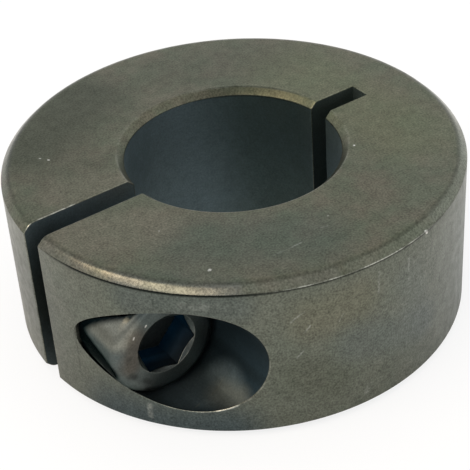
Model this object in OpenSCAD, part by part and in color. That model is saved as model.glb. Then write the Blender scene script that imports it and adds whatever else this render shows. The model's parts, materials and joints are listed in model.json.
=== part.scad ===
// Clamping ring: a split steel ring that one cap screw closes on a round shaft.
// The bore runs along Z from the lower face at z = 0 and the slit points along -X.
// The screw crosses the slit along Y, with its head in a pocket on the -Y side.

/* [Ring] */
// Diameter of the bore, which is the nominal size of the shaft
bore_d = 16; // [12:0.5:18]
// Outer diameter of the ring
ring_d = 34; // [32:0.5:42]
// Width of the ring along the shaft
ring_w = 13; // [11:0.5:18]
// Chamfer on both outer edges
outer_chamfer = 0.6; // [0.2:0.1:1]
// Chamfer on both edges of the bore
bore_chamfer = 0.5; // [0.2:0.1:0.8]

/* [Slit and relief slot] */
// Width of the slit that lets the ring close on the shaft
slit_w = 1.9; // [1:0.1:2.5]
// Width of the relief slot, where the ring bends
relief_w = 1.7; // [1:0.1:2.5]
// Depth of the relief slot, from the wall of the bore
relief_depth = 4; // [2:0.1:5]

/* [Clamp screw] */
// Diameter of the screw's thread
screw_d = 5; // [4:0.5:6]
// Length of the screw below its head
screw_len = 12; // [9:0.5:14]
// Chamfer on the tip of the screw
tip_chamfer = 0.6; // [0.3:0.1:1]
// Fillet between the screw and the underside of its head
neck_fillet = 0.2; // [0.1:0.05:0.25]
// Diameter of the head
head_d = 8.2; // [7.5:0.1:9]
// Height of the head
head_h = 5; // [4:0.1:6]
// Rounding of the head's rim
rim_r = 0.8; // [0.2:0.1:0.8]
// Hexagon socket, across its flats
hex_flats = 4; // [3:0.1:4.5]
// Depth of the hexagon socket
hex_depth = 2.5; // [1.5:0.1:2.8]
// Turn of the socket about the screw's axis, in degrees
hex_turn = 48; // [0:1:59]

/* [Screw seat] */
// Wall between the bore and the hole that the screw passes through
bore_wall = 1.55; // [1:0.05:2]
// Thickness of the ring under the head, from the slit to the seat
seat_wall = 3; // [2.5:0.1:4]
// Gap round the head in its pocket
head_gap = 0.15; // [0.1:0.05:0.4]
// Gap round the screw in the hole that it passes through
pass_gap = 0.25; // [0.25:0.05:0.5]
// Gap round the screw in the tapped hole, which is drawn plain at the thread's outer diameter
thread_gap = 0.05; // [0.02:0.01:0.1]

/* [Hidden] */
$fn = 96;

ring_r = ring_d / 2;
bore_r = bore_d / 2;

// The screw's place: its distance from the bore's axis, and the seat's distance from the slit's middle
pass_d = screw_d + 2 * pass_gap;
screw_x = bore_r + bore_wall + pass_d / 2;
seat_y = slit_w / 2 + seat_wall;

pocket_d = head_d + 2 * head_gap;
tapped_d = screw_d + 2 * thread_gap;

// The socket: the hexagon's corners, the bevel at its mouth and the drill's cone below it
hex_corners = hex_flats / cos(30);
drill_angle = 120;
bevel_depth = (hex_corners - hex_flats) / 2 / tan(drill_angle / 2);
drill_depth = hex_flats / 2 / tan(drill_angle / 2);

// Puts its children on the screw's axis, with z = 0 on the seat and +z out of the pocket
module on_screw_axis() {
    translate([-screw_x, -seat_y, ring_w / 2])
        rotate([90, 0, 0])
            children();
}

// Half section of the turned ring, chamfered at its four corners
module ring_section() {
    polygon([
        [bore_r + bore_chamfer, 0],
        [ring_r - outer_chamfer, 0],
        [ring_r, outer_chamfer],
        [ring_r, ring_w - outer_chamfer],
        [ring_r - outer_chamfer, ring_w],
        [bore_r + bore_chamfer, ring_w],
        [bore_r, ring_w - bore_chamfer],
        [bore_r, bore_chamfer]
    ]);
}

// Slit through the wall on -X, from the bore's axis out past the rim
module slit() {
    translate([-ring_d, -slit_w / 2, -ring_w / 2])
        cube([ring_d, slit_w, 2 * ring_w]);
}

// Relief slot on +X, flat at its end, which leaves the thin web that bends
module relief_slot() {
    translate([0, -relief_w / 2, -ring_w / 2])
        cube([bore_r + relief_depth, relief_w, 2 * ring_w]);
}

// Pocket for the head, hole through the near ear and tapped hole through the far ear
module screw_holes() {
    on_screw_axis() {
        cylinder(d = pocket_d, h = ring_d);
        translate([0, 0, -seat_y])
            cylinder(d = pass_d, h = seat_y + head_h);
        translate([0, 0, -seat_y - ring_d])
            cylinder(d = tapped_d, h = ring_d);
    }
}

// Half section of the screw without its socket, z = 0 under the head
module screw_section() {
    polygon([
        [0, -screw_len],
        [screw_d / 2 - tip_chamfer, -screw_len],
        [screw_d / 2, -screw_len + tip_chamfer],
        [screw_d / 2, 0],
        [0, 0]
    ]);
    square([head_d / 2 - rim_r, head_h]);
    square([head_d / 2, head_h - rim_r]);
    translate([head_d / 2 - rim_r, head_h - rim_r])
        circle(r = rim_r);
    neck_section();
}

// Section of the fillet under the head
module neck_section() {
    difference() {
        translate([screw_d / 2 - neck_fillet, -neck_fillet])
            square([2 * neck_fillet, 2 * neck_fillet]);
        translate([screw_d / 2 + neck_fillet, -neck_fillet])
            circle(r = neck_fillet);
    }
}

// Hexagon socket with a round bevel at its mouth and a drilled cone at its bottom
module hex_socket() {
    translate([0, 0, head_h - hex_depth])
        rotate([0, 0, hex_turn])
            cylinder(d = hex_corners, h = 2 * hex_depth, $fn = 6);
    translate([0, 0, head_h - bevel_depth])
        cylinder(d1 = hex_flats, d2 = hex_corners, h = bevel_depth);
    translate([0, 0, head_h - hex_depth - drill_depth])
        cylinder(d1 = 0, d2 = hex_flats, h = drill_depth);
}

module ring_body() {
    color("#4b4c47")
        difference() {
            rotate_extrude() ring_section();
            slit();
            relief_slot();
            screw_holes();
        }
}

module clamp_screw() {
    color("#56534c")
        on_screw_axis()
            difference() {
                rotate_extrude() screw_section();
                hex_socket();
            }
}

ring_body();
clamp_screw();
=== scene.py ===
"""Looks of a one-piece clamping ring: turned steel, blackened in hot salts, with one cap screw.

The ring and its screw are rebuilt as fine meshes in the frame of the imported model, dressed as
black-oxided steel and set on white paper under soft light. Sizes are in millimetres unless a name
says otherwise, and the meshes are written in metres.
"""

from __future__ import annotations

import json
import logging
import math
from abc import ABC, abstractmethod
from collections.abc import Callable
from dataclasses import dataclass
from enum import Enum
from typing import Any

import bmesh
import bpy
import numpy as np
from mathutils import Matrix, Vector

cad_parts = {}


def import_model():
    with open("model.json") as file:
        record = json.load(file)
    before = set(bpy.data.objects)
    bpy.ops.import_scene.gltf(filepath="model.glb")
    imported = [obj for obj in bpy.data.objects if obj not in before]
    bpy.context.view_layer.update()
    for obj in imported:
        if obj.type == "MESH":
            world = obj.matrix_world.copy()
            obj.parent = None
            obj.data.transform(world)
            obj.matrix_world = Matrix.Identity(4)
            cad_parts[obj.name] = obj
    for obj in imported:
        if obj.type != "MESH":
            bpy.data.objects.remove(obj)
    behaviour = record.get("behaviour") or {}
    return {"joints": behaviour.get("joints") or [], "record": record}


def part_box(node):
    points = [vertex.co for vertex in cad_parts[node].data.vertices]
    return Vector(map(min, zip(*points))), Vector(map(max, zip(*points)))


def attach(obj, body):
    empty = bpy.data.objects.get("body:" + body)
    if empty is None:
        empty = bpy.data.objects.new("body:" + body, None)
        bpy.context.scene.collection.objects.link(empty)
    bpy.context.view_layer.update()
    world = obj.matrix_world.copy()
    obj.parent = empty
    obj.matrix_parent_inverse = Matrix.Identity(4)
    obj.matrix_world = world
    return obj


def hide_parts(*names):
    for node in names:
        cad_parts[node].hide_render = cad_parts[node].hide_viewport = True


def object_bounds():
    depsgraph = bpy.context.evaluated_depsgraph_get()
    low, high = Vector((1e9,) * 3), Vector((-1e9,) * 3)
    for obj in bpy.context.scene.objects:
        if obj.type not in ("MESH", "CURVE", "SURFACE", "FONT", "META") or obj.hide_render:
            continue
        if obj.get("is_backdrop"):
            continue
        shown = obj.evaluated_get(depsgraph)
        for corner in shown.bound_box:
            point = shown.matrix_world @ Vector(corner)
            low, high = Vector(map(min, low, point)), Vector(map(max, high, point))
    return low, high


LOG = logging.getLogger("clamping_ring")
MM = 0.001
IMAGE_PX = 470
# A point within this many millimetres of a surface lies on it
TRUE_WITHIN = 0.004
# A normal with one part over this lies along an axis
FLAT_WITHIN = 0.99999
# Faces that turn less than this are joined into one flat
FLAT_DEG = 0.2
EDGE_SEGMENTS = 3
SCALAR_RESULTS = ("LENGTH", "DISTANCE", "DOT_PRODUCT")

BMesh = bmesh.types.BMesh
Tree = bpy.types.NodeTree
Socket = bpy.types.NodeSocket
Source = bpy.types.Node | Socket


class Part(Enum):
    """The two pieces, each as its node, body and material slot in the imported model."""

    RING = ("ring_body", "ring", "ring_black_oxide")
    SCREW = ("clamp_screw", "screw", "screw_black_oxide")


def to_linear(hex_colour: str) -> tuple[float, float, float, float]:
    """Turns an sRGB hex colour into linear light.

    Args:
        hex_colour: Colour as "#rrggbb".

    Returns:
        Red, green, blue and an alpha of 1.
    """
    channels = [int(hex_colour[i : i + 2], 16) / 255 for i in (1, 3, 5)]
    linear = [c / 12.92 if c <= 0.04045 else ((c + 0.055) / 1.055) ** 2.4 for c in channels]
    return (linear[0], linear[1], linear[2], 1.0)


def add_node(
    tree: Tree, kind: str, inputs: dict[int | str, Any] | None = None, **settings: Any
) -> bpy.types.Node:
    """Adds a shader node with its settings, values and links.

    Args:
        tree: Tree that takes the node.
        kind: Blender's name for the node's type.
        inputs: For each input a value, a socket to link from, or a node whose first output is linked.
        settings: Attributes of the node itself.

    Returns:
        The new node.
    """
    node = tree.nodes.new(kind)
    for name, value in settings.items():
        setattr(node, name, value)
    for key, value in (inputs or {}).items():
        if isinstance(value, bpy.types.Node):
            value = value.outputs[0]
        if isinstance(value, Socket):
            tree.links.new(value, node.inputs[key])
        else:
            node.inputs[key].default_value = value
    return node


def calc(tree: Tree, operation: str, *values: Source | float, clamp: bool = False) -> Socket:
    """Adds a math node for an operation on values, held between 0 and 1 if clamp is set."""
    inputs = dict(enumerate(values))
    return add_node(tree, "ShaderNodeMath", inputs, operation=operation, use_clamp=clamp).outputs[0]


def vector(tree: Tree, operation: str, *values: Any) -> Socket:
    """Adds a vector math node, whose result is a number for a length, distance or dot product."""
    node = add_node(tree, "ShaderNodeVectorMath", dict(enumerate(values)), operation=operation)
    return node.outputs["Value" if operation in SCALAR_RESULTS else "Vector"]


def ramp(
    tree: Tree,
    value: Source,
    low: float,
    high: float,
    to_low: float = 0.0,
    to_high: float = 1.0,
    kind: str = "LINEAR",
) -> Socket:
    """Maps the span from low to high onto the span from to_low to to_high, and holds it there."""
    inputs = {0: value, 1: low, 2: high, 3: to_low, 4: to_high}
    return add_node(tree, "ShaderNodeMapRange", inputs, interpolation_type=kind).outputs[0]


def blend(tree: Tree, share: Source, below: Any, above: Any, kind: str = "MIX") -> Socket:
    """Lays the colour above over the colour below, as far as share says."""
    inputs = {0: share, 6: below, 7: above}
    return add_node(tree, "ShaderNodeMix", inputs, data_type="RGBA", blend_type=kind).outputs[2]


def facing_up(tree: Tree) -> Socket:
    """Adds the nodes that give the upward part of the piece's own normal."""
    normal = add_node(tree, "ShaderNodeTexCoord").outputs["Normal"]
    return add_node(tree, "ShaderNodeSeparateXYZ", {0: normal}).outputs["Z"]


def fresh_tree(owner: bpy.types.Material | bpy.types.World) -> Tree:
    """Gives a material or a world an empty tree of nodes.

    Args:
        owner: What takes the tree.

    Returns:
        The tree.
    """
    owner.use_nodes = True
    owner.node_tree.nodes.clear()
    return owner.node_tree


def arc(start: np.ndarray, corner: np.ndarray, end: np.ndarray, steps: int) -> list[np.ndarray]:
    """Points of the round arc that takes the place of a corner.

    Args:
        start: Point where the arc leaves the first line.
        corner: The sharp corner.
        end: Point where the arc joins the second line, as far from the corner as start is.
        steps: Number of chords.

    Returns:
        The points from start to end.
    """
    into, out = corner - start, end - corner
    turn = math.acos(np.clip(into @ out / np.linalg.norm(into) / np.linalg.norm(out), -1.0, 1.0))
    pull = math.cos(turn / 2)
    points = []
    for s in np.linspace(0.0, 1.0, steps + 1):
        shares = np.array([(1 - s) ** 2, 2 * pull * s * (1 - s), s * s])
        points.append(shares @ np.array([start, corner, end]) / shares.sum())
    return points


def revolve(radii: np.ndarray, heights: np.ndarray, angles: np.ndarray, looped: bool = False) -> BMesh:
    """Turns a profile about the Z axis.

    Args:
        radii: Radius of each profile point, or one for each point and angle.
        heights: Height of each profile point.
        angles: Angles of the columns over one full turn, in radians.
        looped: True if the profile closes on itself. Otherwise both ends get flat caps.

    Returns:
        A closed mesh, in millimetres.
    """
    rows, columns = len(heights), len(angles)
    reach = np.broadcast_to(np.reshape(radii, (rows, -1)), (rows, columns))
    mesh = bmesh.new()
    grid = [
        [
            mesh.verts.new((reach[i, j] * math.cos(a), reach[i, j] * math.sin(a), heights[i]))
            for j, a in enumerate(angles)
        ]
        for i in range(rows)
    ]
    for i in range(rows if looped else rows - 1):
        here, beyond = grid[i], grid[(i + 1) % rows]
        for j in range(columns):
            k = (j + 1) % columns
            mesh.faces.new((here[j], here[k], beyond[k], beyond[j]))
    if not looped:
        mesh.faces.new(grid[0])
        mesh.faces.new(grid[-1])
    bmesh.ops.recalc_face_normals(mesh, faces=mesh.faces)
    return mesh


def block(low: tuple[float, float, float], high: tuple[float, float, float]) -> BMesh:
    """Makes the plain block that a saw or a slotting cutter takes out.

    Args:
        low: Lowest corner.
        high: Highest corner.

    Returns:
        The block's mesh, in millimetres.
    """
    mesh = bmesh.new()
    bmesh.ops.create_cube(mesh, size=1.0)
    bmesh.ops.scale(mesh, vec=Vector(high) - Vector(low), verts=mesh.verts)
    bmesh.ops.translate(mesh, vec=(Vector(high) + Vector(low)) / 2, verts=mesh.verts)
    return mesh


def to_object(name: str, mesh: BMesh) -> bpy.types.Object:
    """Puts a millimetre mesh into the scene, in metres.

    Args:
        name: Name of the new object.
        mesh: Mesh to store. It is freed.

    Returns:
        The new object.
    """
    bmesh.ops.scale(mesh, vec=(MM, MM, MM), verts=mesh.verts)
    data = bpy.data.meshes.new(name)
    mesh.to_mesh(data)
    mesh.free()
    made = bpy.data.objects.new(name, data)
    bpy.context.scene.collection.objects.link(made)
    return made


def cut(piece: bpy.types.Object, cutters: list[BMesh]) -> None:
    """Cuts shapes out of a piece.

    Args:
        piece: Object that is cut.
        cutters: Closed meshes in millimetres. They are freed.
    """
    tools = [to_object(f"{piece.name}_cutter_{i}", c) for i, c in enumerate(cutters)]
    for tool in tools:
        modifier = piece.modifiers.new(tool.name, "BOOLEAN")
        modifier.operation = "DIFFERENCE"
        modifier.solver = "EXACT"
        modifier.object = tool
    bpy.context.view_layer.update()
    evaluated = piece.evaluated_get(bpy.context.evaluated_depsgraph_get())
    old, new = piece.data, bpy.data.meshes.new_from_object(evaluated)
    piece.modifiers.clear()
    piece.data = new
    bpy.data.meshes.remove(old)
    new.name = piece.name
    for tool in tools:
        data = tool.data
        bpy.data.objects.remove(tool)
        bpy.data.meshes.remove(data)


def screw_frame(screw_x: float, screw_z: float, seat_y: float) -> Matrix:
    """Frame of the screw, in mm: its origin on the seat and its Z axis out of the pocket."""
    return Matrix.Translation((-screw_x, -seat_y, screw_z)) @ Matrix.Rotation(math.pi / 2, 4, "X")


def direction(azimuth_deg: float, elevation_deg: float) -> Vector:
    """Unit vector towards a place round the part. Azimuth 0 is along -Y and 90 along +X."""
    a, e = math.radians(azimuth_deg), math.radians(elevation_deg)
    return Vector((math.sin(a) * math.cos(e), -math.cos(a) * math.cos(e), math.sin(e)))


@dataclass(frozen=True)
class Thread:
    """Coarse right-hand metric thread with 60 degree flanks."""

    major_r: float
    pitch: float = 0.8
    depth_share: float = 0.6134
    crest_half: float = 1 / 16
    root_half: float = 1 / 8
    rows_per_turn: int = 16

    def heights(self, low: float, high: float) -> np.ndarray:
        """Heights from high down to low, close enough to draw the flanks."""
        count = math.ceil((high - low) / self.pitch * self.rows_per_turn)
        return np.linspace(high, low, count + 1)

    def radii(self, heights: np.ndarray, angles: np.ndarray) -> np.ndarray:
        """Radius of the thread on a grid.

        Args:
            heights: Heights along the axis.
            angles: Angles round the axis, in radians.

        Returns:
            One radius for each height and angle.
        """
        turns = heights[:, None] / self.pitch - angles[None, :] / math.tau
        from_crest = np.abs(turns - np.round(turns))
        flank = 0.5 - self.crest_half - self.root_half
        fall = np.clip((from_crest - self.crest_half) / flank, 0.0, 1.0)
        return self.major_r - self.depth_share * self.pitch * fall


class Zone(Enum):
    """Where on a piece a mark may lie."""

    ALL = "all"
    INNER = "inner walls"
    SLOPE = "chamfers"


@dataclass(frozen=True)
class Mark:
    """A stain, smudge or scratch, or a patch of painted light or shade: what lies within reach of a line
    from start to end.
    """

    start: tuple[float, float, float]
    end: tuple[float, float, float]
    reach: float
    colour: str
    strength: float
    core: float = 0.2
    zone: Zone = Zone.ALL

    def mask(self, tree: Tree, at: Source) -> Socket:
        """Adds the nodes that say how strong the mark is at a place.

        Args:
            tree: The material's tree.
            at: Place on the piece, in millimetres.

        Returns:
            The mask.
        """
        line = Vector(self.end) - Vector(self.start)
        away = vector(tree, "SUBTRACT", at, self.start)
        along = vector(tree, "DOT_PRODUCT", away, line / line.length_squared)
        share = add_node(tree, "ShaderNodeClamp", {0: along})
        foot = add_node(tree, "ShaderNodeVectorMath", {0: line, "Scale": share}, operation="SCALE")
        gap = vector(tree, "DISTANCE", away, foot)
        return ramp(tree, gap, self.reach, self.core * self.reach, 0.0, self.strength, "SMOOTHSTEP")


class Layer(Enum):
    """The masks that a piece's mesh carries for its finish, each by its attribute's name."""

    BARE = "bare_edge"
    DARK = "dark_edge"
    INNER = "inner_wall"

    def read(self, tree: Tree) -> Socket:
        """Adds the node that reads the mask in a material."""
        return add_node(tree, "ShaderNodeAttribute", attribute_name=self.value).outputs["Fac"]


Surface = Callable[[Vector], Vector]


@dataclass(kw_only=True)
class SteelPiece(ABC):
    """A blackened steel piece: its mesh, and the masks that tell its finish where it is on it."""

    stains_and_painted_light: tuple[Mark, ...] = ()
    scratches: tuple[Mark, ...] = ()
    rubs: tuple[Mark, ...] = ()

    @abstractmethod
    def build(self) -> bpy.types.Object:
        """Makes the piece's mesh in its place."""

    @abstractmethod
    def lay(self, tree: Tree, at: Source) -> Source:
        """Distance in millimetres across the marks that the turning tool left."""

    @abstractmethod
    def surface(self, corners: list[Vector], normal: Vector) -> Surface | None:
        """The true surface that a face lies on, as its normal at a point, or None on an edge."""

    @abstractmethod
    def inner(self, corners: list[Vector]) -> float:
        """How far a face lies on the inner wall of a bore, a hole, a slot or a socket, whose painted
        tone stands in for its light and shade, up to 1.
        """

    @abstractmethod
    def edge_wear(self, point: Vector, broken: bool) -> tuple[float, float]:
        """Shares of bare steel and of dark line at a point, which may be on a broken edge."""

    def break_edges(
        self,
        piece: bpy.types.Object,
        width: float,
        skip: Callable[[Vector], bool],
        sharp_deg: float = 35.0,
    ) -> None:
        """Rounds the sharp outward edges that cutting left, and writes the masks.

        Args:
            piece: Object whose mesh is finished.
            width: Width of the broken edge.
            skip: Says of a point, in millimetres, whether the edges there stay sharp.
            sharp_deg: Angle between two faces from which their edge counts as sharp.
        """
        mesh = bmesh.new()
        mesh.from_mesh(piece.data)
        mesh.verts.layers.float.new(Layer.BARE.value)
        mesh.verts.layers.float.new(Layer.DARK.value)
        mesh.faces.layers.float.new(Layer.INNER.value)
        bmesh.ops.scale(mesh, vec=(1 / MM, 1 / MM, 1 / MM), verts=mesh.verts)
        bmesh.ops.remove_doubles(mesh, verts=mesh.verts, dist=TRUE_WITHIN)
        bmesh.ops.dissolve_limit(
            mesh,
            angle_limit=math.radians(FLAT_DEG),
            use_dissolve_boundaries=False,
            verts=mesh.verts,
            edges=[e for e in mesh.edges if max(map(abs, e.link_faces[0].normal)) > FLAT_WITHIN],
        )
        edges = [
            e
            for e in mesh.edges
            if e.is_manifold
            and e.is_convex
            and e.calc_face_angle(0.0) > math.radians(sharp_deg)
            and not (skip(e.verts[0].co) and skip(e.verts[1].co))
        ]
        made = bmesh.ops.bevel(
            mesh,
            geom=edges,
            offset=width,
            offset_type="OFFSET",
            segments=EDGE_SEGMENTS,
            profile=0.5,
            affect="EDGES",
            clamp_overlap=False,
        )
        self.write_masks(mesh, set(made["faces"]))
        bmesh.ops.scale(mesh, vec=(MM, MM, MM), verts=mesh.verts)
        mesh.to_mesh(piece.data)
        mesh.free()
        piece.data.shade_smooth()
        piece.data.set_sharp_from_angle(angle=math.radians(sharp_deg))
        self.true_normals(piece.data)

    def write_masks(self, mesh: BMesh, broken: set[bmesh.types.BMFace]) -> None:
        """Writes the masks of worn edges, of dark lines and painted shade, and of inner walls on the
        mesh.

        Args:
            mesh: The piece's mesh, in millimetres.
            broken: The faces of its broken edges.
        """
        bare = mesh.verts.layers.float[Layer.BARE.value]
        dark = mesh.verts.layers.float[Layer.DARK.value]
        inner = mesh.faces.layers.float[Layer.INNER.value]
        for vert in mesh.verts:
            on_edge = all(face in broken for face in vert.link_faces)
            vert[bare], vert[dark] = self.edge_wear(vert.co, on_edge)
        for face in mesh.faces:
            face[inner] = self.inner([v.co for v in face.verts])

    def true_normals(self, data: bpy.types.Mesh) -> None:
        """Shades each face by the true surface it lies on, so that no facet or seam shows.

        Args:
            data: The piece's mesh, in metres.
        """
        points = [v.co / MM for v in data.vertices]
        normals = [n.vector.copy() for n in data.corner_normals]
        faces = [self.surface([points[v] for v in f.vertices], f.normal) for f in data.polygons]
        near: dict[int, list[Surface]] = {}
        for face, true in zip(data.polygons, faces):
            for v in face.vertices if true else ():
                near.setdefault(v, []).append(true)
        for face, true in zip(data.polygons, faces):
            for loop in face.loop_indices:
                v = data.loops[loop].vertex_index
                shapes = {t(points[v]).to_tuple(3): t for t in near.get(v, [])}
                if true:
                    normals[loop] = true(points[v])
                elif len(shapes) == 1:
                    normals[loop] = next(iter(shapes.values()))(points[v])
        data.normals_split_custom_set(normals)


@dataclass(frozen=True)
class BlackOxideSteel:
    """Steel blackened in hot caustic salts and left dry.

    The film is magnetite. To the eye it is a satin, olive to brown grey metal with a fine even
    grain, cloudy over some millimetres. Bores, slits and sockets get a painted blue tone that stands
    in for their light and shade. The lay of the tool stretches its reflections, and bare steel shows
    as a thin line where edges are rubbed.
    """

    name: str
    olive: str
    brown: str
    wall: str
    inner: str
    bare: str
    dark: str
    roughness: float = 0.36
    inner_rise: float = 0.2
    inner_grain: float = 0.4
    slope_fall: float = 0.1
    slope_from: float = 12.0
    fold_shade_depth: float = 1.2
    edge_bare: float = 0.14
    anisotropy: float = 0.0
    edge_tint: str = "#ffffff"
    cloud_mm: float = 2.4
    mottle_mm: float = 0.8
    # The real grain and the real feed of the tool are finer than a pixel, so both are drawn coarser
    grain_mm: float = 0.14
    feed_mm: float = 0.25
    wander_mm: float = 0.5
    speck_mm: float = 2.6
    relief_mm: float = 0.006
    relief_share: float = 0.7
    mottle_depth: float = 0.45
    grain_depth: float = 1.4
    feed_depth: float = 0.15
    rough_swing: float = 0.05
    # Spans of noise, or of the normal's upward part, that each mask runs over
    rough_span: tuple[float, float] = (0.3, 0.7)
    cloud_span: tuple[float, float] = (0.36, 0.64)
    broken_span: tuple[float, float] = (0.38, 0.56)
    wall_span: tuple[float, float] = (0.5, 0.2)
    off_wall_span: tuple[float, float] = (0.3, 0.55)
    off_face_span: tuple[float, float] = (0.99, 0.82)
    speck_span: tuple[float, float] = (0.03, 0.015)
    broken_least: float = 0.2
    wall_share: float = 0.8
    speck_rare: float = 0.8

    def build(self, piece: SteelPiece) -> bpy.types.Material:
        """Makes the material for one piece.

        Args:
            piece: Gives the marks on the surface and the turning lay.

        Returns:
            The material.
        """
        material = bpy.data.materials.new(self.name)
        tree = fresh_tree(material)
        place = add_node(tree, "ShaderNodeTexCoord").outputs["Object"]
        at = add_node(tree, "ShaderNodeVectorMath", {0: place, "Scale": 1 / MM}, operation="SCALE")
        cloud, mottle, grain = (
            add_node(tree, "ShaderNodeTexNoise", {"Vector": at, "Scale": 1 / size, "Detail": detail})
            for size, detail in ((self.cloud_mm, 3.0), (self.mottle_mm, 3.0), (self.grain_mm, 1.0))
        )
        turned = add_node(
            tree,
            "ShaderNodeTexNoise",
            {"W": piece.lay(tree, at), "Scale": 1 / self.feed_mm, "Detail": 2.0},
            noise_dimensions="1D",
        )
        depths = (self.mottle_depth, self.grain_depth, self.feed_depth)
        tone: Source | float = 1.0 - sum(depths) / 2
        for noise, depth in zip((mottle, grain, turned), depths):
            tone = calc(tree, "MULTIPLY_ADD", noise, depth, tone)
        inner = Layer.INNER.read(tree)
        depth = ramp(tree, inner, 0.0, 1.0, 1.0, self.inner_grain)
        slope = self.slope(tree, at)
        film = self.colour(tree, piece, at, cloud, mottle, slope)
        colour = blend(tree, depth, film, tone, "MULTIPLY")
        dullest, glossiest = self.roughness + self.rough_swing, self.roughness - self.rough_swing
        rough = ramp(tree, mottle, *self.rough_span, dullest, glossiest)
        rough = calc(tree, "MULTIPLY_ADD", inner, self.inner_rise, rough)
        rough = calc(tree, "MULTIPLY_ADD", slope, -self.slope_fall, rough)
        relief = {"Strength": self.relief_share, "Distance": self.relief_mm * MM, "Height": grain}
        normal = add_node(tree, "ShaderNodeBump", relief)
        shader = add_node(
            tree,
            "ShaderNodeBsdfPrincipled",
            {
                "Base Color": colour,
                "Roughness": rough,
                "Normal": normal,
                "Metallic": 1.0,
                "Anisotropic": self.anisotropy,
                "Specular Tint": to_linear(self.edge_tint),
            },
        )
        if self.anisotropy:
            lay = add_node(tree, "ShaderNodeTangent", direction_type="RADIAL", axis="Z")
            tree.links.new(lay.outputs[0], shader.inputs["Tangent"])
        add_node(tree, "ShaderNodeOutputMaterial", {"Surface": shader})
        return material

    def slope(self, tree: Tree, at: Source) -> Socket:
        """Mask of the upper outer chamfer, which fades into the face.

        Args:
            tree: The material's tree.
            at: Place on the piece, in millimetres.

        Returns:
            The mask.
        """
        radius = vector(tree, "LENGTH", vector(tree, "MULTIPLY", at, (1, 1, 0)))
        outer = calc(tree, "GREATER_THAN", radius, self.slope_from)
        tilt = facing_up(tree)
        off_wall = ramp(tree, tilt, *self.off_wall_span)
        off_face = ramp(tree, tilt, *self.off_face_span)
        return calc(tree, "MULTIPLY", calc(tree, "MULTIPLY", off_wall, off_face), outer)

    def colour(
        self,
        tree: Tree,
        piece: SteelPiece,
        at: Source,
        cloud: bpy.types.Node,
        mottle: Source,
        slope: Source,
    ) -> Source:
        """Lays the colours of the film, its stains and its painted light and shade, the inner walls and
        the worn edges in order.

        Args:
            tree: The material's tree.
            piece: Gives the marks on the surface.
            at: Place on the piece, in millimetres.
            cloud: The slow noise.
            mottle: The noise of about a millimetre.
            slope: The mask of the upper outer chamfer.

        Returns:
            The colour before the grain.
        """
        drift = vector(tree, "SUBTRACT", cloud.outputs["Color"], (0.5, 0.5, 0.5))
        wavy = vector(tree, "MULTIPLY_ADD", drift, (self.wander_mm,) * 3, at)
        hue = ramp(tree, cloud, *self.cloud_span)
        broken = ramp(tree, mottle, *self.broken_span, self.broken_least)
        bare, dark, inner = (layer.read(tree) for layer in (Layer.BARE, Layer.DARK, Layer.INNER))
        rubbed: Source | float = self.edge_bare
        for mark in piece.rubs:
            rubbed = calc(tree, "ADD", mark.mask(tree, wavy), rubbed, clamp=True)
        ragged = calc(tree, "MULTIPLY", calc(tree, "MULTIPLY", bare, broken), rubbed)
        upright = ramp(tree, facing_up(tree), *self.wall_span, 0.0, self.wall_share)
        layers: list[tuple[Source, str]] = [(hue, self.brown), (upright, self.wall), (inner, self.inner)]
        limits: dict[Zone, Source | float] = {Zone.ALL: 1.0, Zone.INNER: inner, Zone.SLOPE: slope}
        for mark in piece.stains_and_painted_light + piece.scratches:
            limit = broken if mark in piece.scratches else limits[mark.zone]
            layers.append((calc(tree, "MULTIPLY", mark.mask(tree, wavy), limit), mark.colour))
        # Painted shade: a dark soft line where the upper outer chamfer rounds into the face
        painted_fold_shade = calc(tree, "MULTIPLY", slope, calc(tree, "SUBTRACT", 1.0, slope))
        painted_fold_shade = calc(tree, "MULTIPLY", painted_fold_shade, self.fold_shade_depth)
        layers += [(painted_fold_shade, self.dark), (self.specks(tree, at), self.bare)]
        layers += [(dark, self.dark), (ragged, self.bare)]
        colour: Source | tuple[float, float, float, float] = to_linear(self.olive)
        for share, shade in layers:
            colour = blend(tree, share, colour, to_linear(shade))
        return colour

    def specks(self, tree: Tree, at: Source) -> Socket:
        """Pale specks of dust, one in a few of the cells of a cell pattern.

        Args:
            tree: The material's tree.
            at: Place on the piece, in millimetres.

        Returns:
            A mask, 1 on a speck.
        """
        cells = add_node(tree, "ShaderNodeTexVoronoi", {"Vector": at, "Scale": 1 / self.speck_mm})
        chance = add_node(tree, "ShaderNodeSeparateColor", {0: cells.outputs["Color"]})
        near = ramp(tree, cells, *self.speck_span)
        rare = calc(tree, "GREATER_THAN", chance, self.speck_rare)
        return calc(tree, "MULTIPLY", near, rare)


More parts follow.
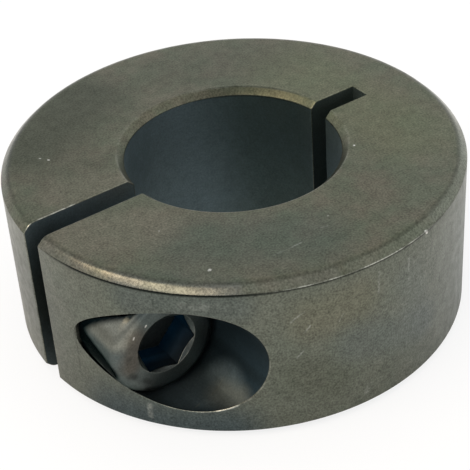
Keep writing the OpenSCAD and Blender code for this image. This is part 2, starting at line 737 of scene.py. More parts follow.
@dataclass
class RingBody(SteelPiece):
    """The split ring, turned from bar, slit, slotted, counterbored, drilled and tapped."""

    outer_r: float
    bore_r: float
    width: float
    screw_x: float
    screw_z: float
    seat_y: float
    finish: BlackOxideSteel
    outer_chamfer: float = 0.6
    bore_chamfer: float = 0.5
    face_r: float = 0.9
    bore_face_r: float = 0.25
    crisp_r: float = 0.14
    guard: float = 0.15
    slit_w: float = 1.9
    relief_w: float = 1.7
    relief_depth: float = 4.0
    pocket_r: float = 4.25
    pass_r: float = 2.75
    tapped_r: float = 2.55
    tapped_plain: float = 12.4
    edge_break: float = 0.08
    columns: int = 300
    hole_columns: int = 112
    mouth_rim: float = 0.05
    flat_tilt: float = 0.8
    soft_steps: int = 6
    crisp_steps: int = 3
    # Stretches of worn edge, of dark line and of painted shade on the bore's edge: first and last angle
    # round the bore, and the angle each end fades over
    rubbed_deg: tuple[float, float, float] = (-124.0, -70.0, 12.0)
    lined_deg: tuple[float, float, float] = (-177.0, -66.0, 12.0)
    shaded_deg: tuple[float, float, float] = (5.0, 85.0, 25.0)
    bore_edge_shade: float = 0.5
    bore_bare: float = 0.4
    bore_line: float = 1 / 3
    rim_line: float = 0.7

    def edge(self, chamfer: float, face_r: float) -> np.ndarray:
        """Profile of one chamfered edge, soft towards the face and crisp towards the wall.

        Args:
            chamfer: Width of the chamfer.
            face_r: Rounding between the chamfer and the face.

        Returns:
            Points from the face to the wall, each the distance from the wall and from the face.
        """
        soft = face_r * math.tan(math.pi / 8)
        crisp = self.crisp_r * math.tan(math.pi / 8)
        at_face, at_wall = np.array([chamfer, 0.0]), np.array([0.0, chamfer])
        down, slope = np.array([0.0, 1.0]), np.array([-1.0, 1.0]) / math.sqrt(2)
        inward = np.array([1.0, 0.0])
        return np.array(
            arc(at_face + soft * inward, at_face, at_face + soft * slope, self.soft_steps)
            + arc(at_wall - crisp * slope, at_wall, at_wall + crisp * down, self.crisp_steps)
            + [at_wall + (crisp + self.guard) * down]
        )

    def section(self) -> np.ndarray:
        """Closed outline of the turned ring's half section, as radius and height.

        Returns:
            The points in order.
        """
        outer = self.edge(self.outer_chamfer, self.face_r)
        inner = self.edge(self.bore_chamfer, self.bore_face_r)
        top_out = np.column_stack((self.outer_r - outer[:, 0], self.width - outer[:, 1]))
        low_out = np.column_stack((self.outer_r - outer[:, 0], outer[:, 1]))
        low_in = np.column_stack((self.bore_r + inner[:, 0], inner[:, 1]))
        top_in = np.column_stack((self.bore_r + inner[:, 0], self.width - inner[:, 1]))
        return np.vstack((top_out, low_out[::-1], low_in, top_in[::-1]))

    def column_angles(self) -> np.ndarray:
        """Angles of the turned ring's columns, without those too near the edges of a cut.

        Returns:
            The angles, in radians.
        """
        keep = []
        for a in np.arange(self.columns) * math.tau / self.columns:
            x, y = math.cos(a), abs(math.sin(a))
            half = (self.slit_w if x < 0 else self.relief_w) / 2
            radii = (self.bore_r, self.bore_r + self.bore_chamfer, self.outer_r)
            if all(abs(y * r - half) > 2.0 * self.edge_break for r in radii):
                keep.append(a)
        return np.array(keep)

    def screw_hole(self) -> BMesh:
        """Cutter for the pocket, the plain hole and the tapped hole, on the screw's axis.

        Returns:
            The cutter, in millimetres.
        """
        thread = Thread(major_r=self.tapped_r)
        angles = np.arange(self.hole_columns) * math.tau / self.hole_columns
        deep = self.tapped_plain + self.outer_r / 2
        heights = thread.heights(-deep, -self.tapped_plain)
        plain = [
            (self.pocket_r, self.outer_r),
            (self.pocket_r, 0.0),
            (self.pass_r, 0.0),
            (self.pass_r, -self.seat_y),
            (self.tapped_r, -self.seat_y),
        ]
        radii = [np.full(len(angles), r) for r, _ in plain]
        mesh = revolve(
            np.vstack((radii, thread.radii(heights, angles))),
            np.concatenate(([h for _, h in plain], heights)),
            angles,
        )
        mesh.transform(screw_frame(self.screw_x, self.screw_z, self.seat_y))
        return mesh

    def build(self) -> bpy.types.Object:
        """Turns the ring and cuts the slit, the relief slot and the screw's holes.

        Returns:
            The finished object.
        """
        section = self.section()
        piece = to_object(
            "split_ring", revolve(section[:, 0], section[:, 1], self.column_angles(), looped=True)
        )
        past, half_slit, half_slot = self.width / 2, self.slit_w / 2, self.relief_w / 2
        slot_end = self.bore_r + self.relief_depth
        cut(
            piece,
            [
                block((-2 * self.outer_r, -half_slit, -past), (0, half_slit, self.width + past)),
                block((0, -half_slot, -past), (slot_end, half_slot, self.width + past)),
                self.screw_hole(),
            ],
        )
        self.break_edges(piece, self.edge_break, self.in_tapped_hole)
        piece.data.materials.append(self.finish.build(self))
        return piece

    def in_tapped_hole(self, point: Vector) -> bool:
        """True for a point in the thread of the tapped hole or on its outer mouth."""
        return point.y > self.slit_w and self.from_screw(point) < self.tapped_r + self.mouth_rim

    def from_screw(self, point: Vector) -> float:
        """Distance of a point from the screw's axis."""
        return math.hypot(point.x + self.screw_x, point.z - self.screw_z)

    def lay(self, tree: Tree, at: Source) -> Source:
        """Radius on the two faces, and height on the walls.

        Args:
            tree: The material's tree.
            at: Place on the ring, in millimetres.

        Returns:
            The distance across the turning marks.
        """
        axes = add_node(tree, "ShaderNodeSeparateXYZ", {0: at})
        radius = vector(tree, "LENGTH", vector(tree, "MULTIPLY", at, (1, 1, 0)))
        on_face = calc(tree, "GREATER_THAN", calc(tree, "ABSOLUTE", facing_up(tree)), self.flat_tilt)
        across = {0: on_face, 2: axes.outputs["Z"], 3: radius}
        return add_node(tree, "ShaderNodeMix", across, data_type="FLOAT")

    def surface(self, corners: list[Vector], normal: Vector) -> Surface | None:
        """Finds the turned wall, hole or flat that a face lies on.

        Args:
            corners: The face's corners, in millimetres.
            normal: The face's normal.

        Returns:
            The surface's normal at a point, or None for a face of an edge or of the thread.
        """
        from_bore = [math.hypot(p.x, p.y) for p in corners]
        from_screw = [self.from_screw(p) for p in corners]
        for radius, outward in ((self.outer_r, 1.0), (self.bore_r, -1.0)):
            if all(abs(r - radius) < TRUE_WITHIN for r in from_bore):
                return lambda p: outward * Vector((p.x, p.y, 0.0)).normalized()
        for radius in (self.pocket_r, self.pass_r):
            if all(abs(r - radius) < TRUE_WITHIN for r in from_screw):
                return lambda p: Vector((-p.x - self.screw_x, 0.0, self.screw_z - p.z)).normalized()
        if max(abs(n) for n in normal) > FLAT_WITHIN:
            flat = normal.copy()
            return lambda p: flat
        return None

    def inner(self, corners: list[Vector]) -> float:
        """Marks the bore, the slit, the relief slot, the pocket and the screw's holes.

        Args:
            corners: The face's corners, in millimetres.

        Returns:
            1 for a face inside, and 0 outside.
        """
        half_slit, half_slot = self.slit_w / 2 + TRUE_WITHIN, self.relief_w / 2 + TRUE_WITHIN
        slot_end = self.bore_r + self.relief_depth + TRUE_WITHIN
        cuts: tuple[Callable[[Vector], bool], ...] = (
            lambda p: math.hypot(p.x, p.y) < self.bore_r + TRUE_WITHIN,
            lambda p: p.x < 0.0 and abs(p.y) < half_slit,
            lambda p: 0.0 < p.x < slot_end and abs(p.y) < half_slot,
            lambda p: p.y < 0.0 and self.from_screw(p) < self.pocket_r + TRUE_WITHIN,
            lambda p: self.from_screw(p) < self.pass_r + TRUE_WITHIN,
        )
        return float(any(all(inside(p) for p in corners) for inside in cuts))

    def edge_wear(self, point: Vector, broken: bool) -> tuple[float, float]:
        """Bare line along the rubbed stretch of the upper rim, the dark line under it, and painted shade
        on the back of the bore's upper edge.

        Args:
            point: A point of the mesh, in millimetres.
            broken: True on a broken edge.

        Returns:
            The shares of bare steel and of dark line or painted shade.
        """
        radius = math.hypot(point.x, point.y)
        angle = math.degrees(math.atan2(point.y, point.x))
        bare, dark, bore_edge_shade = (
            np.clip(min(angle - low, high - angle) / fade, 0.0, 1.0)
            for low, high, fade in (self.rubbed_deg, self.lined_deg, self.shaded_deg)
        )
        from_bore = math.hypot(radius - self.bore_r - self.bore_chamfer, self.width - point.z)
        line = self.bore_line * self.bore_face_r
        on_bore = radius < self.bore_r + self.bore_chamfer + line
        if broken:
            return 1.0, 0.0
        if on_bore and point.z > self.width - self.bore_chamfer - self.crisp_r / 2:
            # On the bore's upper edge, painted shade darkens the back right stretch, where a lamp's
            # highlight would fall
            return (self.bore_bare if from_bore < line else 0.0), float(self.bore_edge_shade * bore_edge_shade)
        drop = self.width - self.outer_chamfer - point.z
        gap = math.hypot(self.outer_r - radius, drop)
        if gap > self.crisp_r / 2:
            return 0.0, 0.0
        if gap < self.rim_line * self.crisp_r * math.tan(math.pi / 8):
            return float(bare), float(dark * (1.0 - bare))
        return 0.0, float(dark) if drop > 0 else 0.0


@dataclass
class ClampScrew(SteelPiece):
    """The socket head cap screw: a cold-headed blank with a rolled thread."""

    screw_x: float
    screw_z: float
    seat_y: float
    head_r: float
    head_h: float
    length: float
    mouth_r: float
    finish: BlackOxideSteel
    screw_r: float = 2.5
    rim_r: float = 0.8
    rim_flat: float = 0.3
    foot_r: float = 0.4
    painted_gap_shade: float = 0.7
    floor_dark: float = 0.1
    rim_steps: int = 10
    side_rows: int = 20
    foot_steps: int = 6
    neck_steps: int = 4
    neck_plain: float = 0.1
    overrun: float = 0.3
    drill_tip: float = 0.01
    drill_lip: float = 0.02
    sharp_deg: float = 25.0
    neck_r: float = 0.2
    tip_chamfer: float = 0.6
    hex_flats: float = 4.0
    hex_depth: float = 2.5
    hex_turn_deg: float = 48.0
    drill_half_deg: float = 60.0
    thread_start: float = 0.7
    edge_break: float = 0.05
    columns: int = 120

    def head_profile(self) -> list[np.ndarray]:
        """Radius and height from the flat of the head, over its rim, to the neck.

        Returns:
            The points in order.
        """
        top = np.array([self.head_r, self.head_h])
        foot = np.array([self.head_r, 0.0])
        neck = np.array([self.screw_r, 0.0])
        out, rise = np.array([1.0, 0.0]), np.array([0.0, 1.0])
        return (
            [top - (self.rim_r + self.rim_flat) * out]
            + arc(top - self.rim_r * out, top, top - self.rim_r * rise, self.rim_steps)
            + list(np.linspace(top - self.rim_r * rise, foot + self.foot_r * rise, self.side_rows)[1:-1])
            + arc(foot + self.foot_r * rise, foot, foot - self.foot_r * out, self.foot_steps)
            + arc(neck + self.neck_r * out, neck, neck - self.neck_r * rise, self.neck_steps)
        )

    def blank(self) -> BMesh:
        """The headed blank with its rolled thread, before the socket.

        Returns:
            The blank's mesh, in millimetres.
        """
        thread = Thread(major_r=self.screw_r)
        angles = np.arange(self.columns) * math.tau / self.columns
        head = np.array(self.head_profile())
        heights = thread.heights(-self.length, -self.neck_r - self.neck_plain)
        rolled = np.clip((-heights - self.neck_r) / self.thread_start, 0.0, 1.0)[:, None]
        radii = self.screw_r - rolled * (self.screw_r - thread.radii(heights, angles))
        cone = self.screw_r - self.tip_chamfer + self.length + heights
        radii = np.minimum(radii, cone[:, None])
        plain = np.repeat(head[:, :1], len(angles), axis=1)
        return revolve(np.vstack((plain, radii)), np.concatenate((head[:, 1], heights)), angles)

    def socket(self) -> list[BMesh]:
        """Cutters for the hexagon, the bevel at its mouth and the drilled cone under it.

        Returns:
            The three cutters, in millimetres.
        """
        spread = math.tan(math.radians(self.drill_half_deg))
        apothem = self.hex_flats / 2
        corner = apothem / math.cos(math.pi / 6)
        floor, over = self.head_h - self.hex_depth, self.head_h + self.overrun
        six = math.radians(self.hex_turn_deg) + np.arange(6) * math.tau / 6
        full = np.arange(self.columns) * math.tau / self.columns
        bevel = (corner - apothem) / spread
        tip, drill = self.drill_tip, apothem - self.drill_lip
        return [
            revolve(np.array([corner, corner]), np.array([floor, over]), six),
            revolve(
                np.array([apothem, corner + self.overrun * spread]),
                np.array([self.head_h - bevel, over]),
                full,
            ),
            revolve(
                np.array([tip, drill, drill]),
                np.array([floor - (drill - tip) / spread, floor, floor + self.overrun]),
                full,
            ),
        ]

    def build(self) -> bpy.types.Object:
        """Heads the blank, rolls the thread and punches the socket.

        Returns:
            The finished object.
        """
        piece = to_object("cap_screw", self.blank())
        cut(piece, self.socket())
        self.break_edges(piece, self.edge_break, self.under_mouth, self.sharp_deg)
        into_place = screw_frame(self.screw_x, self.screw_z, self.seat_y)
        into_place.translation *= MM
        piece.data.transform(into_place)
        piece.data.materials.append(self.finish.build(self))
        return piece

    def under_mouth(self, point: Vector) -> bool:
        """True for a point below the socket's mouth, where the edges stay as they were formed."""
        return point.z < self.head_h - self.hex_depth / 2

    def lay(self, tree: Tree, at: Source) -> Source:
        """Distance from the screw's axis."""
        centred = vector(tree, "ADD", at, (self.screw_x, 0.0, -self.screw_z))
        return vector(tree, "LENGTH", vector(tree, "MULTIPLY", centred, (1, 0, 1)))

    def surface(self, corners: list[Vector], normal: Vector) -> Surface | None:
        """Finds the flat or the head's side that a face lies on.

        Args:
            corners: The face's corners in the screw's own frame, in millimetres.
            normal: The face's normal.

        Returns:
            The surface's normal at a point, or None for a rounded face.
        """
        if all(abs(math.hypot(p.x, p.y) - self.head_r) < TRUE_WITHIN for p in corners):
            return lambda p: Vector((p.x, p.y, 0.0)).normalized()
        if abs(normal.z) > FLAT_WITHIN:
            flat = normal.copy()
            return lambda p: flat
        return None

    def inner(self, corners: list[Vector]) -> float:
        """Marks the socket's walls, under the bevel at its mouth, and its floor.

        Args:
            corners: The face's corners in the screw's own frame, in millimetres.

        Returns:
            1 on the walls, less on the floor, and 0 outside the socket.
        """
        reach = self.hex_flats / 2 / math.cos(math.pi / 6) + TRUE_WITHIN
        floor = self.head_h - self.hex_depth
        low, high = min(p.z for p in corners), max(p.z for p in corners)
        if low < 0.0 or low > floor + self.hex_depth / 2:
            return 0.0
        if any(math.hypot(p.x, p.y) > reach for p in corners):
            return 0.0
        return 1.0 if high > floor + TRUE_WITHIN else self.floor_dark

    def edge_wear(self, point: Vector, broken: bool) -> tuple[float, float]:
        """A little bare steel round the socket's mouth, and painted shade on the head's side where it
        leaves its pocket.

        Args:
            point: A point of the mesh in the screw's own frame, in millimetres.
            broken: True on a broken edge.

        Returns:
            The shares of bare steel and of painted shade.
        """
        on_side = math.hypot(point.x, point.y) > self.head_r - self.rim_r / 4
        mouth = math.sqrt(self.mouth_r**2 - (self.screw_x - point.x) ** 2) - self.seat_y
        # Painted shade on the head's side below the pocket's mouth, where the gap is in shadow
        painted_gap_shade = np.clip((mouth - point.z) / self.painted_gap_shade + 1.0, 0.0, 1.0)
        rubbed = broken and not self.under_mouth(point)
        return float(rubbed), float(painted_gap_shade) if on_side else 0.0


@dataclass(frozen=True)
class WhitePaper:
    """Finish of the floor: matt white background paper, which takes a soft shadow.

    To the camera part of its white is its own, so the picture's ground is as bright as a light table.
    """

    name: str = "white_background_paper"
    white: str = "#ffffff"
    roughness: float = 0.9
    own_white: float = 0.8

    def build(self) -> bpy.types.Material:
        """Makes the material.

        Returns:
            The material.
        """
        material = bpy.data.materials.new(self.name)
        tree = fresh_tree(material)
        shader = add_node(
            tree,
            "ShaderNodeBsdfPrincipled",
            {
                "Base Color": to_linear(self.white),
                "Roughness": self.roughness,
                "Specular IOR Level": 0.0,
            },
        )
        glow = add_node(tree, "ShaderNodeEmission", {"Color": to_linear(self.white), "Strength": 1.0})
        seen = add_node(tree, "ShaderNodeLightPath").outputs["Is Camera Ray"]
        share = calc(tree, "MULTIPLY", seen, self.own_white)
        shader = add_node(tree, "ShaderNodeMixShader", {0: share, 1: shader, 2: glow})
        add_node(tree, "ShaderNodeOutputMaterial", {"Surface": shader})
        return material


@dataclass(frozen=True)
class SoftLamp:
    """A flat lamp behind a diffuser, aimed at the part."""

    name: str
    azimuth_deg: float
    elevation_deg: float
    distance: float
    width: float
    height: float
    power_w: float
    colour: str = "#ffffff"

    def build(self, target: Vector) -> bpy.types.Object:
        """Makes the lamp.

        Args:
            target: Point that it is aimed at, in metres.

        Returns:
            The lamp.
        """
        data = bpy.data.lights.new(self.name, "AREA")
        data.shape = "RECTANGLE"
        data.size, data.size_y = self.width * MM, self.height * MM
        data.energy = self.power_w
        data.color = to_linear(self.colour)[:3]
        lamp = bpy.data.objects.new(self.name, data)
        bpy.context.scene.collection.objects.link(lamp)
        away = direction(self.azimuth_deg, self.elevation_deg)
        lamp.location = target + away * self.distance * MM
        lamp.rotation_euler = away.to_track_quat("Z", "Y").to_euler()
        return lamp


@dataclass(frozen=True)
class PhotoCamera:
    """The camera at the photograph's viewing angle."""

    azimuth_deg: float = -33.1
    elevation_deg: float = 35.88
    roll_deg: float = -4.08
    distance: float = 109.9
    focal_px: float = 1451.2
    aim_right: float = -0.19
    aim_up: float = -1.335
    sensor: float = 36.0
    clip_m: tuple[float, float] = (0.005, 20.0)

    def build(self, centre: Vector) -> bpy.types.Object:
        """Makes the camera and sets it as the scene's.

        Args:
            centre: Middle of the part, in metres.

        Returns:
            The camera.
        """
        data = bpy.data.cameras.new("photo_camera")
        data.sensor_width = self.sensor
        data.lens = self.focal_px / IMAGE_PX * self.sensor
        data.clip_start, data.clip_end = self.clip_m
        camera = bpy.data.objects.new("photo_camera", data)
        bpy.context.scene.collection.objects.link(camera)
        back = direction(self.azimuth_deg, self.elevation_deg)
        level = Vector((0, 0, 1)).cross(back).normalized()
        right = Matrix.Rotation(math.radians(self.roll_deg), 3, back) @ level
        up = back.cross(right)
        place = centre + (back * self.distance + right * self.aim_right + up * self.aim_up) * MM
        axes = Matrix((right, up, back)).transposed().to_4x4()
        camera.matrix_world = Matrix.Translation(place) @ axes
        bpy.context.scene.camera = camera
        return camera


@dataclass
class Studio:
    """White paper, an even white surround, a warm lamp and the camera."""

    centre: Vector
    paper: WhitePaper = WhitePaper()
    camera: PhotoCamera = PhotoCamera()
    lamps: tuple[SoftLamp, ...] = (
        SoftLamp("warm_strip", -83.0, 48.0, 300.0, 270.0, 80.0, 0.28, "#ffe6c8"),
    )
    floor_half: float = 3000.0
    surround: str = "#ffffff"

    def build(self) -> None:
        """Makes the floor, the surround, the lamps and the camera."""
        mesh = bmesh.new()
        bmesh.ops.create_grid(mesh, x_segments=2, y_segments=2, size=self.floor_half)
        floor = to_object("paper_floor", mesh)
        floor.data.materials.append(self.paper.build())
        floor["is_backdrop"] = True
        for lamp in self.lamps:
            lamp.build(self.centre)
        self.light_surround()
        self.camera.build(self.centre)
        bpy.context.scene.view_settings.view_transform = "Standard"

    def light_surround(self) -> None:
        """Lights the part evenly from all round, as a white tent does."""
        world = bpy.data.worlds.new("white_tent")
        tree = fresh_tree(world)
        white = {"Color": to_linear(self.surround), "Strength": 1.0}
        light = add_node(tree, "ShaderNodeBackground", white)
        add_node(tree, "ShaderNodeOutputWorld", {"Surface": light})
        bpy.context.scene.world = world


# Bar turned and blackened: satin olive grey, cloudy, its reflections stretched along the tool's lay
RING_OXIDE = BlackOxideSteel(
    name="turned_black_oxide_steel",
    olive="#595e4f",
    brown="#615f52",
    # Inner walls: a painted lighter blue-grey tone that stands in for the light in the bore and the slit
    wall="#5e635b",
    inner="#76868b",
    bare="#bcbdb4",
    dark="#161a17",
    anisotropy=0.3,
)
# Wire headed cold and blackened: smoother and cooler than the ring, with painted blue-black shade in its
# socket
SCREW_OXIDE = BlackOxideSteel(
    name="cold_headed_black_oxide_steel",
    olive="#4f5654",
    brown="#545550",
    wall="#525a59",
    # Inner walls: painted blue-black shade in the socket
    inner="#0c283a",
    bare="#c0beb4",
    dark="#101618",
    roughness=0.38,
    edge_tint="#a4a9a8",
    inner_rise=0.4,
    relief_mm=0.002,
    mottle_depth=0.5,
    grain_depth=0.7,
)
# Colours of the film where it is stained, rubbed or dusty, and of the painted shade, sheen and
# highlights laid on it
BLUE_TINT_AND_PAINTED_SHADE = "#414c4f"
FRONT_PAINTED_SHADE = "#4a544d"
SLIT_SIDE_PAINTED_SHEEN = "#6c695c"
TOP_AND_WALL_PAINTED_SHADE = "#464a3e"
CHAMFER_PAINTED_HIGHLIGHT = "#6e6d67"
RIM_PAINTED_HIGHLIGHT = "#70756a"
RIGHT_PAINTED_SHEEN = "#62684f"
POCKET_PAINTED_SHADE = "#223036"
SLIT_PAINTED_SHADE = "#1c2422"
BORE_PAINTED_SHADE = "#44524e"
WALL_PALE = "#6c716a"
FAR_WALL_PAINTED_SHADE = "#50554e"
WALL_BROWN = "#68634f"
WALL_BLUE = "#545e60"
HEAD_FACE_PAINTED_SHADE = "#343634"
POCKET_SHADE = "#0e1315"
POCKET_PAINTED_LIGHT = "#6a797d"
HEAD_SIDE_PAINTED_LIGHT = "#7c7d74"
HEAD_BROWN = "#54493f"
HEAD_NICK = "#2a2c2b"
KEY_SCRATCH_AND_PAINTED_GLINT = "#82877f"
DUST = "#9a9e98"
SPECK = "#e8e8e2"
RING_STAINS_AND_PAINTED_LIGHT = (
    # Painted shade: the top face darker and teal at the front
    Mark((-9.0, -8.5, 13.0), (-3.0, -12.5, 13.0), 5.0, FRONT_PAINTED_SHADE, 0.5),
    # Painted sheen: the top face lighter and browner in front of the slit
    Mark((-13.8, -3.0, 13.0), (-10.5, -4.5, 13.0), 4.0, SLIT_SIDE_PAINTED_SHEEN, 0.6),
    # Painted shade: the top face darker at the back left and beside the slit
    Mark((-12.0, 10.0, 13.0), (-5.0, 13.0, 13.0), 6.0, TOP_AND_WALL_PAINTED_SHADE, 0.95),
    Mark((-13.0, 4.0, 13.0), (-9.5, 4.5, 13.0), 3.5, TOP_AND_WALL_PAINTED_SHADE, 0.3),
    # Painted sheen: the top face lighter and greener on the right
    Mark((10.0, 6.0, 13.0), (11.0, -7.0, 13.0), 6.0, RIGHT_PAINTED_SHEEN, 0.5),
    # Painted shade: the front of the wall darker and bluer towards the bottom
    Mark((-15.5, -7.0, 0.0), (-10.8, -13.1, 0.0), 4.6, BLUE_TINT_AND_PAINTED_SHADE, 0.9),
    # Painted shade: the top face darker at the back right
    Mark((3.0, 12.0, 13.0), (9.0, 9.0, 13.0), 5.0, TOP_AND_WALL_PAINTED_SHADE, 0.4),
    Mark((6.0, -15.9, 7.0), (15.0, -8.0, 7.0), 8.0, WALL_PALE, 0.5),
    # Painted shade: the wall darker at the far left, past the slit
    Mark((-16.4, 4.5, 6.5), (-16.9, 1.5, 6.5), 5.0, FAR_WALL_PAINTED_SHADE, 0.85),
    Mark((-5.2, -16.2, 9.6), (-2.2, -16.9, 9.9), 3.0, WALL_BROWN, 0.3),
    Mark((-2.2, -16.9, 6.3), (4.0, -16.5, 4.7), 2.6, WALL_BLUE, 0.3),
    Mark((2.4, -16.8, 9.7), (4.0, -16.5, 4.7), 2.0, WALL_BLUE, 0.15),
    # Painted shade: the front of the wall darker low down
    Mark((-6.2, -15.8, 5.1), (-4.2, -16.5, 3.7), 2.6, TOP_AND_WALL_PAINTED_SHADE, 0.35),
    # Painted sheen: the top face lighter and browner behind the slit
    Mark((-12.8, 3.1, 13.0), (-9.1, 1.6, 13.0), 2.6, SLIT_SIDE_PAINTED_SHEEN, 0.5),
    # Painted highlight: a warm gold band on the front-left upper chamfer, where a lamp's reflection lies
    Mark((-16.54, -2.32, 12.7), (-14.46, -8.35, 12.7), 1.5, CHAMFER_PAINTED_HIGHLIGHT, 0.4, 0.6, Zone.SLOPE),
    Mark((-14.46, -8.35, 12.7), (-10.28, -13.16, 12.7), 1.5, CHAMFER_PAINTED_HIGHLIGHT, 0.55, 0.6, Zone.SLOPE),
    Mark((-10.28, -13.16, 12.7), (-4.32, -16.13, 12.7), 1.5, CHAMFER_PAINTED_HIGHLIGHT, 0.3, 0.6, Zone.SLOPE),
    # A blue-grey tint on the wall under the front-left chamfer
    Mark((-14.5, -8.8, 11.5), (-10.0, -13.7, 11.5), 2.5, BLUE_TINT_AND_PAINTED_SHADE, 0.4),
    # Painted highlight: a lighter band on the front-right upper chamfer
    Mark((-1.5, -16.6, 12.7), (6.4, -15.4, 12.7), 1.6, RIM_PAINTED_HIGHLIGHT, 0.3, 0.6, Zone.SLOPE),
    Mark((6.4, -15.4, 12.7), (12.8, -10.7, 12.7), 1.6, RIM_PAINTED_HIGHLIGHT, 0.6, 0.6, Zone.SLOPE),
    Mark((12.8, -10.7, 12.7), (16.5, -2.5, 12.7), 1.6, RIM_PAINTED_HIGHLIGHT, 0.5, 0.6, Zone.SLOPE),
    # Painted shade: blue-black in the screw's pocket and in the holes beyond the slit
    Mark((-12.3, -4.0, 6.5), (-12.3, -13.0, 6.5), 5.2, POCKET_PAINTED_SHADE, 0.93, 0.9, Zone.INNER),
    Mark((-12.3, 1.5, 6.5), (-12.3, 15.0, 6.5), 3.4, POCKET_PAINTED_SHADE, 0.9, 0.8, Zone.INNER),
    # Painted light on the pocket's lower wall under the head
    Mark((-14.0, -8.5, 2.4), (-9.5, -11.5, 2.8), 2.4, POCKET_PAINTED_LIGHT, 0.9, 0.4, Zone.INNER),
    # Painted shade: near black in the slit's outer end
    Mark((-16.5, 0.0, 10.0), (-16.5, 0.0, 0.0), 5.0, SLIT_PAINTED_SHADE, 0.8, 0.1, Zone.INNER),
    # Painted shade on the bore's right side
    Mark((7.5, 2.7, 1.0), (6.5, 4.7, 13.0), 8.0, BORE_PAINTED_SHADE, 0.8, 0.2, Zone.INNER),
    # Painted glint: a lit patch on the pocket's lower wall
    Mark((-10.2, -11.8, 2.8), (-9.8, -13.4, 3.1), 1.6, KEY_SCRATCH_AND_PAINTED_GLINT, 0.6, 0.2, Zone.INNER),
)
RING_SCRATCHES = (
    Mark((-12.4, -11.6, 11.5), (-10.8, -13.1, 11.5), 0.4, DUST, 0.22),
    Mark((-14.35, -9.15, 1.2), (-14.25, -9.25, 2.2), 0.3, DUST, 0.45),
    Mark((-1.4, -16.9, 1.5), (-1.2, -16.9, 2.1), 0.35, DUST, 0.3),
    Mark((-5.8, -12.7, 13.0), (-3.3, -12.7, 13.0), 0.1, DUST, 0.3),
    Mark((-1.4, -12.3, 13.0), (-1.0, -12.45, 13.0), 0.1, DUST, 0.45),
    Mark((-0.28, -11.57, 13.0), (-0.22, -11.55, 13.0), 0.12, SPECK, 0.9),
    Mark((-6.7, -15.63, 9.64), (-5.8, -15.97, 10.25), 0.1, DUST, 0.3),
    Mark((-0.35, -17.0, 11.5), (-0.35, -17.0, 9.8), 0.15, DUST, 0.3),
    Mark((2.4, -16.83, 11.2), (2.4, -16.83, 9.4), 0.15, DUST, 0.3),
    Mark((-6.4, -15.75, 6.6), (-6.0, -15.9, 7.1), 0.1, DUST, 0.5),
    Mark((-5.8, -15.98, 8.5), (-5.4, -16.1, 9.0), 0.1, DUST, 0.5),
    Mark((-3.4, -16.65, 8.7), (-3.1, -16.7, 9.2), 0.1, DUST, 0.5),
    Mark((-10.6, -11.4, 2.6), (-9.4, -11.25, 3.4), 0.1, KEY_SCRATCH_AND_PAINTED_GLINT, 0.6),
    Mark((-12.27, -11.57, 2.25), (-11.6, -11.4, 2.3), 0.1, KEY_SCRATCH_AND_PAINTED_GLINT, 0.7),
    Mark((-9.9, -11.35, 13.0), (-9.8, -11.3, 13.0), 0.16, SPECK, 1.0),
    Mark((-11.85, 7.65, 13.0), (-11.8, 7.6, 13.0), 0.1, SPECK, 0.7),
    Mark((-11.4, 7.15, 13.0), (-11.35, 7.1, 13.0), 0.1, SPECK, 0.7),
    Mark((-10.0, -5.65, 13.0), (-9.95, -5.6, 13.0), 0.1, SPECK, 0.7),
    Mark((6.6, -5.83, 13.0), (6.66, -5.8, 13.0), 0.12, SPECK, 1.0),
    Mark((4.1, -16.5, 12.5), (4.3, -16.45, 12.3), 0.2, SPECK, 1.0),
)
SCREW_STAINS_AND_PAINTED_LIGHT = (
    # Painted light on the upper left of the head's side
    Mark((-15.6, -4.5, 8.9), (-15.6, -8.2, 8.9), 1.9, HEAD_SIDE_PAINTED_LIGHT, 0.8, 0.5),
    Mark((-16.35, -4.4, 6.6), (-16.4, -7.8, 5.6), 1.1, POCKET_SHADE, 0.95, 0.6),
    Mark((-16.2, -4.6, 7.9), (-14.3, -8.6, 10.2), 0.5, POCKET_SHADE, 0.8, 0.3),
    # Painted shade on the lower right of the head's face
    Mark((-13.5, -8.95, 2.9), (-9.3, -8.95, 5.0), 2.4, HEAD_FACE_PAINTED_SHADE, 0.6),
    Mark((-14.6, -8.9, 8.0), (-15.2, -8.9, 6.0), 1.3, HEAD_BROWN, 0.5),
    Mark((-15.5, -8.6, 6.35), (-15.25, -8.75, 6.75), 0.42, HEAD_NICK, 0.75),
    Mark((-15.35, -8.7, 5.2), (-15.0, -8.75, 4.95), 0.42, HEAD_NICK, 0.75),
    Mark((-14.3, -8.8, 4.2), (-13.95, -8.8, 3.95), 0.38, HEAD_NICK, 0.6),
)
SCREW_SCRATCHES = (
    Mark((-14.8, -8.95, 8.2), (-14.75, -8.95, 8.3), 0.12, SPECK, 0.8),
    Mark((-13.85, -8.95, 8.68), (-13.8, -8.95, 8.74), 0.1, SPECK, 0.7),
)
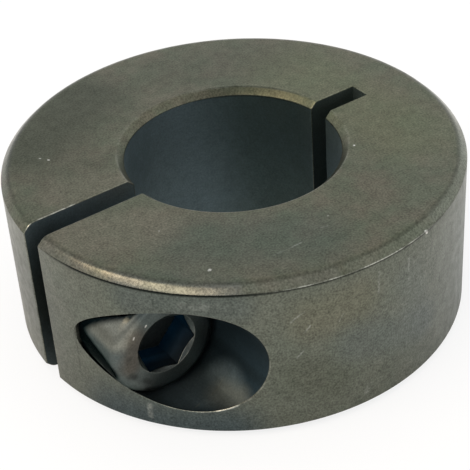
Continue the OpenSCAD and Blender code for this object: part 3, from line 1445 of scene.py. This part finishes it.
RING_RUBS = (
    Mark((-16.2, -0.95, 12.9), (-9.0, -0.95, 13.0), 0.6, SPECK, 0.25, 0.5),
    Mark((-16.2, 0.95, 12.8), (-13.5, 0.95, 13.0), 0.9, SPECK, 0.5, 0.5),
    Mark((-11.4, -12.6, 2.3), (-10.4, -13.4, 2.6), 0.9, SPECK, 0.55, 0.5),
    Mark((-5.0, -16.2, 12.4), (4.0, -16.5, 12.4), 3.0, SPECK, 0.4, 0.5),
)


def main() -> None:
    """Loads the frame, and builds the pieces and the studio."""
    logging.basicConfig(level=logging.INFO, format="%(name)s: %(message)s")
    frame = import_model()
    cad_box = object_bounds()
    joint = next(j for j in frame["joints"] if j["name"] == "screw_turn")
    bore = next(m for m in frame["record"]["mounts"] if m["name"] == "shaft_bore")
    axis_x, axis_y, axis_z = (v / MM for v in joint["pos_m"])
    ring_low, ring_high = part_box("ring_body")
    screw_low, screw_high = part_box("clamp_screw")
    ring = RingBody(
        outer_r=ring_high.x / MM,
        bore_r=bore["dims"]["r_mm"],
        width=(ring_high.z - ring_low.z) / MM,
        screw_x=-axis_x,
        screw_z=axis_z,
        seat_y=-axis_y,
        finish=RING_OXIDE,
        rubs=RING_RUBS,
        stains_and_painted_light=RING_STAINS_AND_PAINTED_LIGHT,
        scratches=RING_SCRATCHES,
    )
    screw = ClampScrew(
        screw_x=-axis_x,
        screw_z=axis_z,
        seat_y=-axis_y,
        head_r=(screw_high.x - screw_low.x) / 2 / MM,
        head_h=axis_y - screw_low.y / MM,
        length=screw_high.y / MM - axis_y,
        mouth_r=ring_high.x / MM,
        finish=SCREW_OXIDE,
        stains_and_painted_light=SCREW_STAINS_AND_PAINTED_LIGHT,
        scratches=SCREW_SCRATCHES,
    )
    for maker, part in ((ring, Part.RING), (screw, Part.SCREW)):
        node, body, slot = part.value
        piece = maker.build()
        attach(piece, body)
        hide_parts(node)
        LOG.info("%s rides on %s: %d faces", piece.name, body, len(piece.data.polygons))
    Studio(centre=(cad_box[0] + cad_box[1]) / 2).build()


if __name__ == "__main__":
    main()
